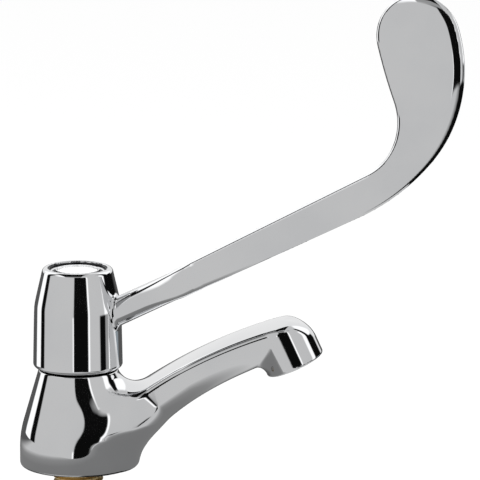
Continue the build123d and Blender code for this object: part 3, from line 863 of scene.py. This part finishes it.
def grown(piece, tree, crease, **values):
    """Runs a node group on the piece once and keeps the result as its mesh."""
    modifier = piece.modifiers.new(tree.name, "NODES")
    modifier.node_group = tree
    for item in tree.interface.items_tree:
        key = item.name.replace(" ", "_")
        if item.item_type == "SOCKET" and item.in_out == "INPUT" and key in values:
            modifier[item.identifier] = values[key]
    bpy.context.view_layer.update()
    seen = piece.evaluated_get(bpy.context.evaluated_depsgraph_get())
    mesh = bpy.data.meshes.new_from_object(seen)
    piece.modifiers.remove(modifier)
    piece.data = mesh
    settle(piece, crease)
    return piece


# Camera, floor and light


# Brightness of the studio's walls and cards as reflections show them
PALE, DARK, BRIGHT, BACK = 0.62, 0.004, 1.25, 0.1
BLUISH = (0.3, 0.34, 0.37)

# Floor and the ledge that reflections show, in mm
FLOOR_REACH = 9000
LEDGE_HOLE = 24.9
LEDGE_REACH = 200.0
LEDGE_FRONT = -62.0
LEDGE_HEIGHT = -0.3

# Cards round the tap: bearing in degrees from the camera's side, right positive, and brightness
LEFT_CARDS = (
    (-180, BACK), (-133, BACK), (-131, BRIGHT), (-112, BRIGHT), (-110, DARK), (-97, DARK), (-95, PALE),
)
FRONT_EDGE = ((-12.5, PALE), (-11.5, BRIGHT), (-10, BRIGHT))
FRONT_CARDS = ((-8.5, DARK), (28, DARK), (29, BRIGHT), (32.5, BRIGHT), (34, PALE))
RIGHT_CARDS = ((75, PALE), (78, BRIGHT), (91, BRIGHT), (93.5, DARK))
FAR_WALL = 0.9
SHADED = 0.35


def card_ramp(tree, bearing, bands):
    """Brightness by bearing."""
    stops = [((angle + 180) / 360, value) for angle, value in bands]
    return build(tree, "ShaderNodeValToRGB", bearing, stops=stops)


def photo_camera():
    """Camera at the photograph's angle, far off, so that it hardly foreshortens."""
    data = bpy.data.cameras.new("photo_camera")
    data.lens = 535
    data.sensor_width = 36
    data.clip_start = 0.1
    data.clip_end = 60
    camera = bpy.data.objects.new("photo_camera", data)
    bpy.context.scene.collection.objects.link(camera)
    lift = math.radians(12.2)
    target = Vector((0.0684, 0, 0.0972))
    back = Vector((0, -math.cos(lift), math.sin(lift)))
    camera.location = target + back * 3.0
    camera.rotation_euler = (-back).to_track_quat("-Z", "Y").to_euler()
    bpy.context.scene.camera = camera


def studio_world():
    """White room for the camera; for reflections, pale walls with dark cards and bright strips."""
    world = bpy.data.worlds.new("studio")
    bpy.context.scene.world = world
    world.use_nodes = True
    tree = world.node_tree
    tree.nodes.clear()
    way = build(tree, "ShaderNodeTexCoord", out=0)
    x = build(tree, "ShaderNodeSeparateXYZ", way, out=0)
    y = build(tree, "ShaderNodeSeparateXYZ", way, out=1)
    z = build(tree, "ShaderNodeSeparateXYZ", way, out=2)
    bearing = x.math("ARCTAN2", x, 0 - y) * (0.5 / math.pi) + 0.5
    lift = z.math("ARCSINE", z) * (180 / math.pi)
    sweep = z.math("ARCTAN2", z, 0 - y) * (180 / math.pi)
    far = x.math("ABSOLUTE", bearing - 0.5) * 360
    # One ramp by bearing for each band of lift: about level, above it, far below it and high up
    level = card_ramp(tree, bearing, LEFT_CARDS + FRONT_EDGE + FRONT_CARDS + (
        (60, PALE), (63, DARK), (78, DARK), (80, SHADED), (88, SHADED), (90, BRIGHT), (99, BRIGHT),
        (102, BLUISH), (130, BLUISH), (134, BACK), (180, BACK),
    ))
    raised = card_ramp(tree, bearing, LEFT_CARDS + ((-10, PALE),) + FRONT_CARDS + RIGHT_CARDS + (
        (135, DARK), (150, BACK), (180, BACK),
    ))
    deep = card_ramp(tree, bearing, (
        (-180, BACK), (-125, BACK), (-105, PALE), (12, PALE),
        (30, DARK), (150, DARK), (170, BACK), (180, BACK),
    ))
    high = card_ramp(tree, bearing, (
        (-180, FAR_WALL), (-152, FAR_WALL), (-148, BRIGHT), (-113, BRIGHT),
        (-110, DARK), (-92, DARK), (-90, PALE),
    ) + RIGHT_CARDS + (
        (110, DARK), (113, BRIGHT), (148, BRIGHT), (152, FAR_WALL), (180, FAR_WALL),
    ))
    seen = blended(tree, smooth(tree, lift, -17, -14.5), deep, level)
    seen = blended(tree, smooth(tree, lift, -8, -5), seen, raised)
    behind = smooth(tree, far, 128, 136) * smooth(tree, lift, 0, 3)
    seen = blended(tree, behind, seen, (FAR_WALL,) * 3)
    backward = smooth(tree, far, 88, 94)
    seen = blended(tree, backward * smooth(tree, lift, 15, 18), seen, high)
    # Overhead: by sweep from the camera's side over the top to the back
    over = build(tree, "ShaderNodeValToRGB", sweep / 180, stops=[
        (0.0, DARK), (0.2, DARK), (0.215, SHADED), (0.3, SHADED),
        (0.315, DARK), (0.66, DARK), (0.69, BRIGHT), (1.0, BRIGHT),
    ])
    beside = smooth(tree, x.math("ABSOLUTE", x + 0.18), 0.36, 0.4)
    wall = blended(tree, smooth(tree, x, 0.1, 0.25), (BRIGHT,) * 3, (PALE,) * 3)
    over = blended(tree, beside, over, wall)
    start = 30 + backward * 20
    above = build(tree, "ShaderNodeMapRange", lift, start, start + 8, 0.0, 1.0, clamp=True)
    seen = blended(tree, above, seen, over)
    glossy = build(tree, "ShaderNodeBackground", seen, 1.0)
    plain = build(tree, "ShaderNodeBackground", (1, 1, 1), 0.78)
    white = build(tree, "ShaderNodeBackground", (1, 1, 1), 1.0)
    path = tree.nodes.new("ShaderNodeLightPath")
    shown = build(tree, "ShaderNodeMixShader", Wire(tree, path.outputs["Is Glossy Ray"]), plain, glossy)
    is_camera = Wire(tree, path.outputs["Is Camera Ray"])
    clear = is_camera.math("MAXIMUM", is_camera, Wire(tree, path.outputs["Is Transmission Ray"]))
    shown = build(tree, "ShaderNodeMixShader", clear, shown, white)
    sink = tree.nodes.new("ShaderNodeOutputWorld")
    tree.links.new(shown.socket, sink.inputs["Surface"])


def stage_material(name, surface):
    """A material for the stage; surface builds it in the empty tree."""
    made = bpy.data.materials.new(name)
    made.use_nodes = True
    tree = made.node_tree
    tree.nodes.clear()
    shown = surface(tree)
    tree.links.new(shown.socket, tree.nodes.new("ShaderNodeOutputMaterial").inputs["Surface"])
    return made


def stage_sheet(name, points, faces, shader):
    """A flat piece of the stage."""
    made = solid(name, points, faces)
    made.data.materials.append(shader)
    return made


def oblong(x_low, x_high, y_low, y_high, z):
    """Corners of a level rectangle."""
    return [(x_low, y_low, z), (x_high, y_low, z), (x_high, y_high, z), (x_low, y_high, z)]


def floor_surface(tree):
    """White to the camera, with the shadow that falls on it."""
    path = tree.nodes.new("ShaderNodeLightPath")
    seen = Wire(tree, path.outputs["Is Camera Ray"])
    seen = seen.math("MAXIMUM", seen, Wire(tree, path.outputs["Is Glossy Ray"]))
    seen = seen.math("MAXIMUM", seen, Wire(tree, path.outputs["Is Transmission Ray"]))
    matt = build(tree, "ShaderNodeBsdfDiffuse", (0.9, 0.9, 0.9))
    glow = build(tree, "ShaderNodeEmission", (1, 1, 1), 1.0)
    return build(tree, "ShaderNodeMixShader", seen * 0.8, matt, glow)


def pale_floor():
    """Floor under the tail."""
    low = cad_box[0].z / MM - 0.2
    corners = oblong(-FLOOR_REACH, FLOOR_REACH, -FLOOR_REACH, FLOOR_REACH, low)
    floor = stage_sheet("floor", corners, [(0, 1, 2, 3)], stage_material("pale_floor", floor_surface))
    floor.visible_glossy = False


def deck_surface(tree):
    """Grey near the tap as painted shadow of the tap, paler further off, and dark behind it as painted
    shade.
    """
    where = build(tree, "ShaderNodeTexCoord", out=3)
    centred = build(tree, "ShaderNodeVectorMath", where, (0.01, 0, 0), operation="SUBTRACT")
    reach = build(tree, "ShaderNodeVectorMath", centred, operation="LENGTH", out=1)
    # Painted shadow: the ledge glows darker close to the foot, as if in the tap's shade
    grey = build(tree, "ShaderNodeValToRGB", reach / (LEDGE_REACH * MM), stops=[
        (0.0, 0.2), (0.25, 0.22), (0.3, 0.28), (0.39, PALE), (1.0, PALE),
    ])
    depth = build(tree, "ShaderNodeSeparateXYZ", where, out=1) / MM
    # Painted shade: the ledge glows dark behind the tap
    grey = blended(tree, smooth(tree, depth, 10, 60), grey, (BACK,) * 3)
    return build(tree, "ShaderNodeEmission", grey, 1.0)


def apron_surface(tree):
    """Pale all over."""
    return build(tree, "ShaderNodeEmission", (PALE,) * 3, 1.0)


def ledge_edge(angle):
    """A point of the ledge's outer edge: a circle cut straight at the front."""
    x, y = LEDGE_REACH * math.cos(angle), LEDGE_REACH * math.sin(angle)
    share = LEDGE_FRONT / y if y < LEDGE_FRONT else 1
    return (x * share, y * share, LEDGE_HEIGHT)


def deck_reflection():
    """The ledge round the foot and the drop in front of it, seen only in reflections."""
    sides = 96
    angles = np.arange(sides) * math.pi / (sides / 2)
    ring = [(LEDGE_HOLE * math.cos(a), LEDGE_HOLE * math.sin(a), LEDGE_HEIGHT) for a in angles]
    edge = [ledge_edge(a) for a in angles]
    faces = [(i, sides + i, sides + (i + 1) % sides, (i + 1) % sides) for i in range(sides)]
    deck = stage_sheet("deck", ring + edge, faces, stage_material("deck_reflection", deck_surface))
    corners = oblong(-100, 130, -185, LEDGE_FRONT, -40)
    apron = stage_sheet("apron", corners, [(0, 1, 2, 3)], stage_material("apron_reflection", apron_surface))
    for sheet in (deck, apron):
        sheet.visible_camera = False
        sheet.visible_diffuse = False
        sheet.visible_transmission = False
        sheet.visible_shadow = False


def soft_lamp():
    """One wide lamp high up, for the floor's shadow."""
    data = bpy.data.lights.new("soft_lamp", "AREA")
    data.shape = "DISK"
    data.size = 1.6
    data.energy = 40
    lamp = bpy.data.objects.new("soft_lamp", data)
    lamp.location = (-0.5, -0.8, 2.0)
    lamp.rotation_euler = (Vector((0, 0, 0.05)) - lamp.location).to_track_quat("-Z", "Y").to_euler()
    lamp.visible_glossy = False
    bpy.context.scene.collection.objects.link(lamp)


bpy.context.scene.view_settings.view_transform = "Standard"
photo_camera()
studio_world()
pale_floor()
deck_reflection()
soft_lamp()
finish_hidden_nodes()

# Cast body and lever handle

FINE, COARSE, BODY_STEP = 0.5, 1.0, 0.6

body_grid = (spread(-26, 107, BODY_STEP), spread(-26.1, 26.1, BODY_STEP), spread(-1.1, 68, BODY_STEP))
# Painted shade: the casting's collar top, under the hub, is coloured near black
body_chrome = polished_chrome("body_chrome", gaps=((41.55, 43.0),))
dress(skin("tap_casting", casting, *body_grid), "tap", "chrome", "tap_body", look=body_chrome)

lever_grid = (
    np.concatenate([spread(-20.1, 56, FINE), spread(57, 173.5, COARSE)]),
    spread(-20.1, 20.1, FINE),
    np.concatenate([spread(41.7, 88, FINE), spread(89, 213, COARSE)]),
)
# Painted shade: the hub's foot, over the collar, is coloured near black
lever_chrome = polished_chrome("lever_chrome", gaps=((40.0, 42.95),))
lever = skin("elbow_lever", handle, *lever_grid, LEVER_YAW)
dress(lever, "handle", "chrome", "lever_handle", look=lever_chrome)

# Trim in the hub's top

GROOVE_RADIUS = 1.3
BUTTON_RADIUS = 8.6

groove = np.linspace(0.1, math.pi - 0.1, 14)
dish = [(8.7, 82.65), (12.5, 82.65), (12.5, 84.75)]
dish += [(10.6 + GROOVE_RADIUS * math.cos(a), 84.8 - GROOVE_RADIUS * math.sin(a)) for a in groove]
dish += [(8.7, 84.75)]
# Painted shade: bands on the bezel's groove walls and outer rim are coloured near black
bezel_chrome = polished_chrome("bezel_chrome", rings=((9.3, 10.05), (11.5, 12.6)))
dress(turned("index_bezel", dish, 160, crease=50), "handle", "chrome", "index_ring", look=bezel_chrome)

crown = np.linspace(0.12, math.pi / 2 - 0.05, 12)
dome = [(0, 82.2), (5.0, 82.2), (5.0, 82.6), (BUTTON_RADIUS, 82.6), (BUTTON_RADIUS, 84.0)]
dome += [(BUTTON_RADIUS * math.cos(a), 84.0 + 0.62 * math.sin(a)) for a in crown]
dome += [(0, 84.62)]
dress(turned("index_button", dome, 160, crease=50), "handle", "white_plastic", "index_disc")

# Deck fixings and inlet shank


def hexagonal(angle, radius, height):
    """Outer points drawn in to the nut's flats."""
    off = (angle + math.pi / 6) % (math.pi / 3) - math.pi / 6
    return (min(radius, NUT_HALF / math.cos(off)) if radius > 12 else radius), height


def nut_outline():
    """The nut's outline, with the rows that its chamfers need."""
    corner = NUT_HALF / math.cos(math.pi / 6)
    step = NUT_CHAMFER / 10
    lower = [(corner - NUT_CHAMFER + step * i, NUT_BOTTOM + step * i) for i in range(11)]
    upper = [(r, NUT_BOTTOM + NUT_TOP - z) for r, z in reversed(lower)]
    return [(10.55, -30.6), (10.95, NUT_BOTTOM)] + lower + upper + [(10.95, NUT_TOP), (10.55, -24.4)]


GASKET_OUTLINE = [(10.5, 0), (21.3, 0), (21.6, 0.3), (21.6, 1.9), (21.3, 2.2), (10.5, 2.2)]
RUBBER_OUTLINE = [
    (10.9, -22.5), (16.6, -22.5), (16.9, -22.3), (17.0, -21.8),
    (17.0, -20.7), (16.9, -20.2), (16.6, -20.0), (10.9, -20.0),
]
PLATE_OUTLINE = [
    (10.9, -23.8), (11.1, -24), (17.25, -24), (17.5, -23.75),
    (17.5, -22.75), (17.25, -22.5), (11.1, -22.5), (10.9, -22.7),
]
dress(turned("foot_gasket", GASKET_OUTLINE, 160), "tap", "rubber", "base_gasket")
dress(turned("clamp_rubber", RUBBER_OUTLINE, 160), "tap", "rubber", "rubber_washer")
dress(turned("clamp_plate", PLATE_OUTLINE, 160, crease=25), "tap", "steel", "steel_washer")
dress(turned("hexagon_nut", nut_outline(), 180, hexagonal, crease=22), "tap", "brass", "backnut")

thread_root = PIPE_RADIUS - PIPE_DEPTH
shank_outline = [
    (7.9, SHANK_BOTTOM), (8.8, SHANK_BOTTOM), (thread_root, -51.2), (thread_root, -0.5), (PIPE_RADIUS, -0.1),
    (PIPE_RADIUS, 8.7), (10.2, SPIGOT_TOP), (7.8, SPIGOT_TOP), (7.5, 8.7), (7.5, -51.4),
]
shank = grown(
    turned("threaded_shank", shank_outline, 128),
    pipe_thread(THREAD_RUNS),
    35,
    Finish=FINISHES["brass"],
    Root_radius=thread_root * MM,
    Depth=PIPE_DEPTH * MM,
    Pitch=PIPE_PITCH * MM,
)
dress(shank, "tap", "brass", "inlet_tail")

# Aerator in the mouth, drawn upright and then set on the mouth's plane

MOUTH_PLANE = Matrix((
    (math.cos(TILT), 0, math.sin(TILT), OUTLET[0] * MM),
    (0, -1, 0, 0),
    (math.sin(TILT), 0, -math.cos(TILT), OUTLET[2] * MM),
    (0, 0, 0, 1),
))


def keyed(angle, radius, height):
    """Four notches for the key, cut in the ring's face outside its lip."""
    off = angle % (math.pi / 2) - math.pi / 4
    cut = abs(math.sin(off)) * radius < KEY_HALF_WIDTH and radius > 8.8
    return radius, (min(height, AERATOR_FACE - KEY_DEPTH) if cut else height)


ring_outline = [
    (AERATOR_INNER, AERATOR_BACK), (10.05, AERATOR_BACK), (AERATOR_RADIUS, -7.6), (AERATOR_RADIUS, -1.8),
    (AERATOR_RADIUS, -1.0), (10.08, AERATOR_FACE), (8.85, AERATOR_FACE), (AERATOR_INNER, AERATOR_FACE),
    (8.35, AERATOR_FACE), (8.15, -0.95), (8.15, -1.4), (AERATOR_INNER, -1.4),
]
aerator_ring = turned("aerator_ring", ring_outline, 360, keyed, crease=30)
aerator_ring.data.transform(MOUTH_PLANE)
dress(aerator_ring, "tap", "chrome", "aerator_housing")

plates_outline = [
    (0, AERATOR_BACK), (8.45, AERATOR_BACK), (INSERT_RADIUS, -7.6),
    (INSERT_RADIUS, -1.65), (8.45, INSERT_FACE), (0, INSERT_FACE),
]
cartridge = grown(
    turned("aerator_cartridge", plates_outline, 96),
    drilled_plates(),
    30,
    Finish=FINISHES["nylon"],
    Hole_radius=INSERT_HOLE * MM,
    Ring_gap=INSERT_RING_GAP * MM,
    Hollow_radius=INSERT_HOLLOW * MM,
)
cartridge.data.transform(MOUTH_PLANE)
dress(cartridge, "tap", "nylon", "aerator_insert")
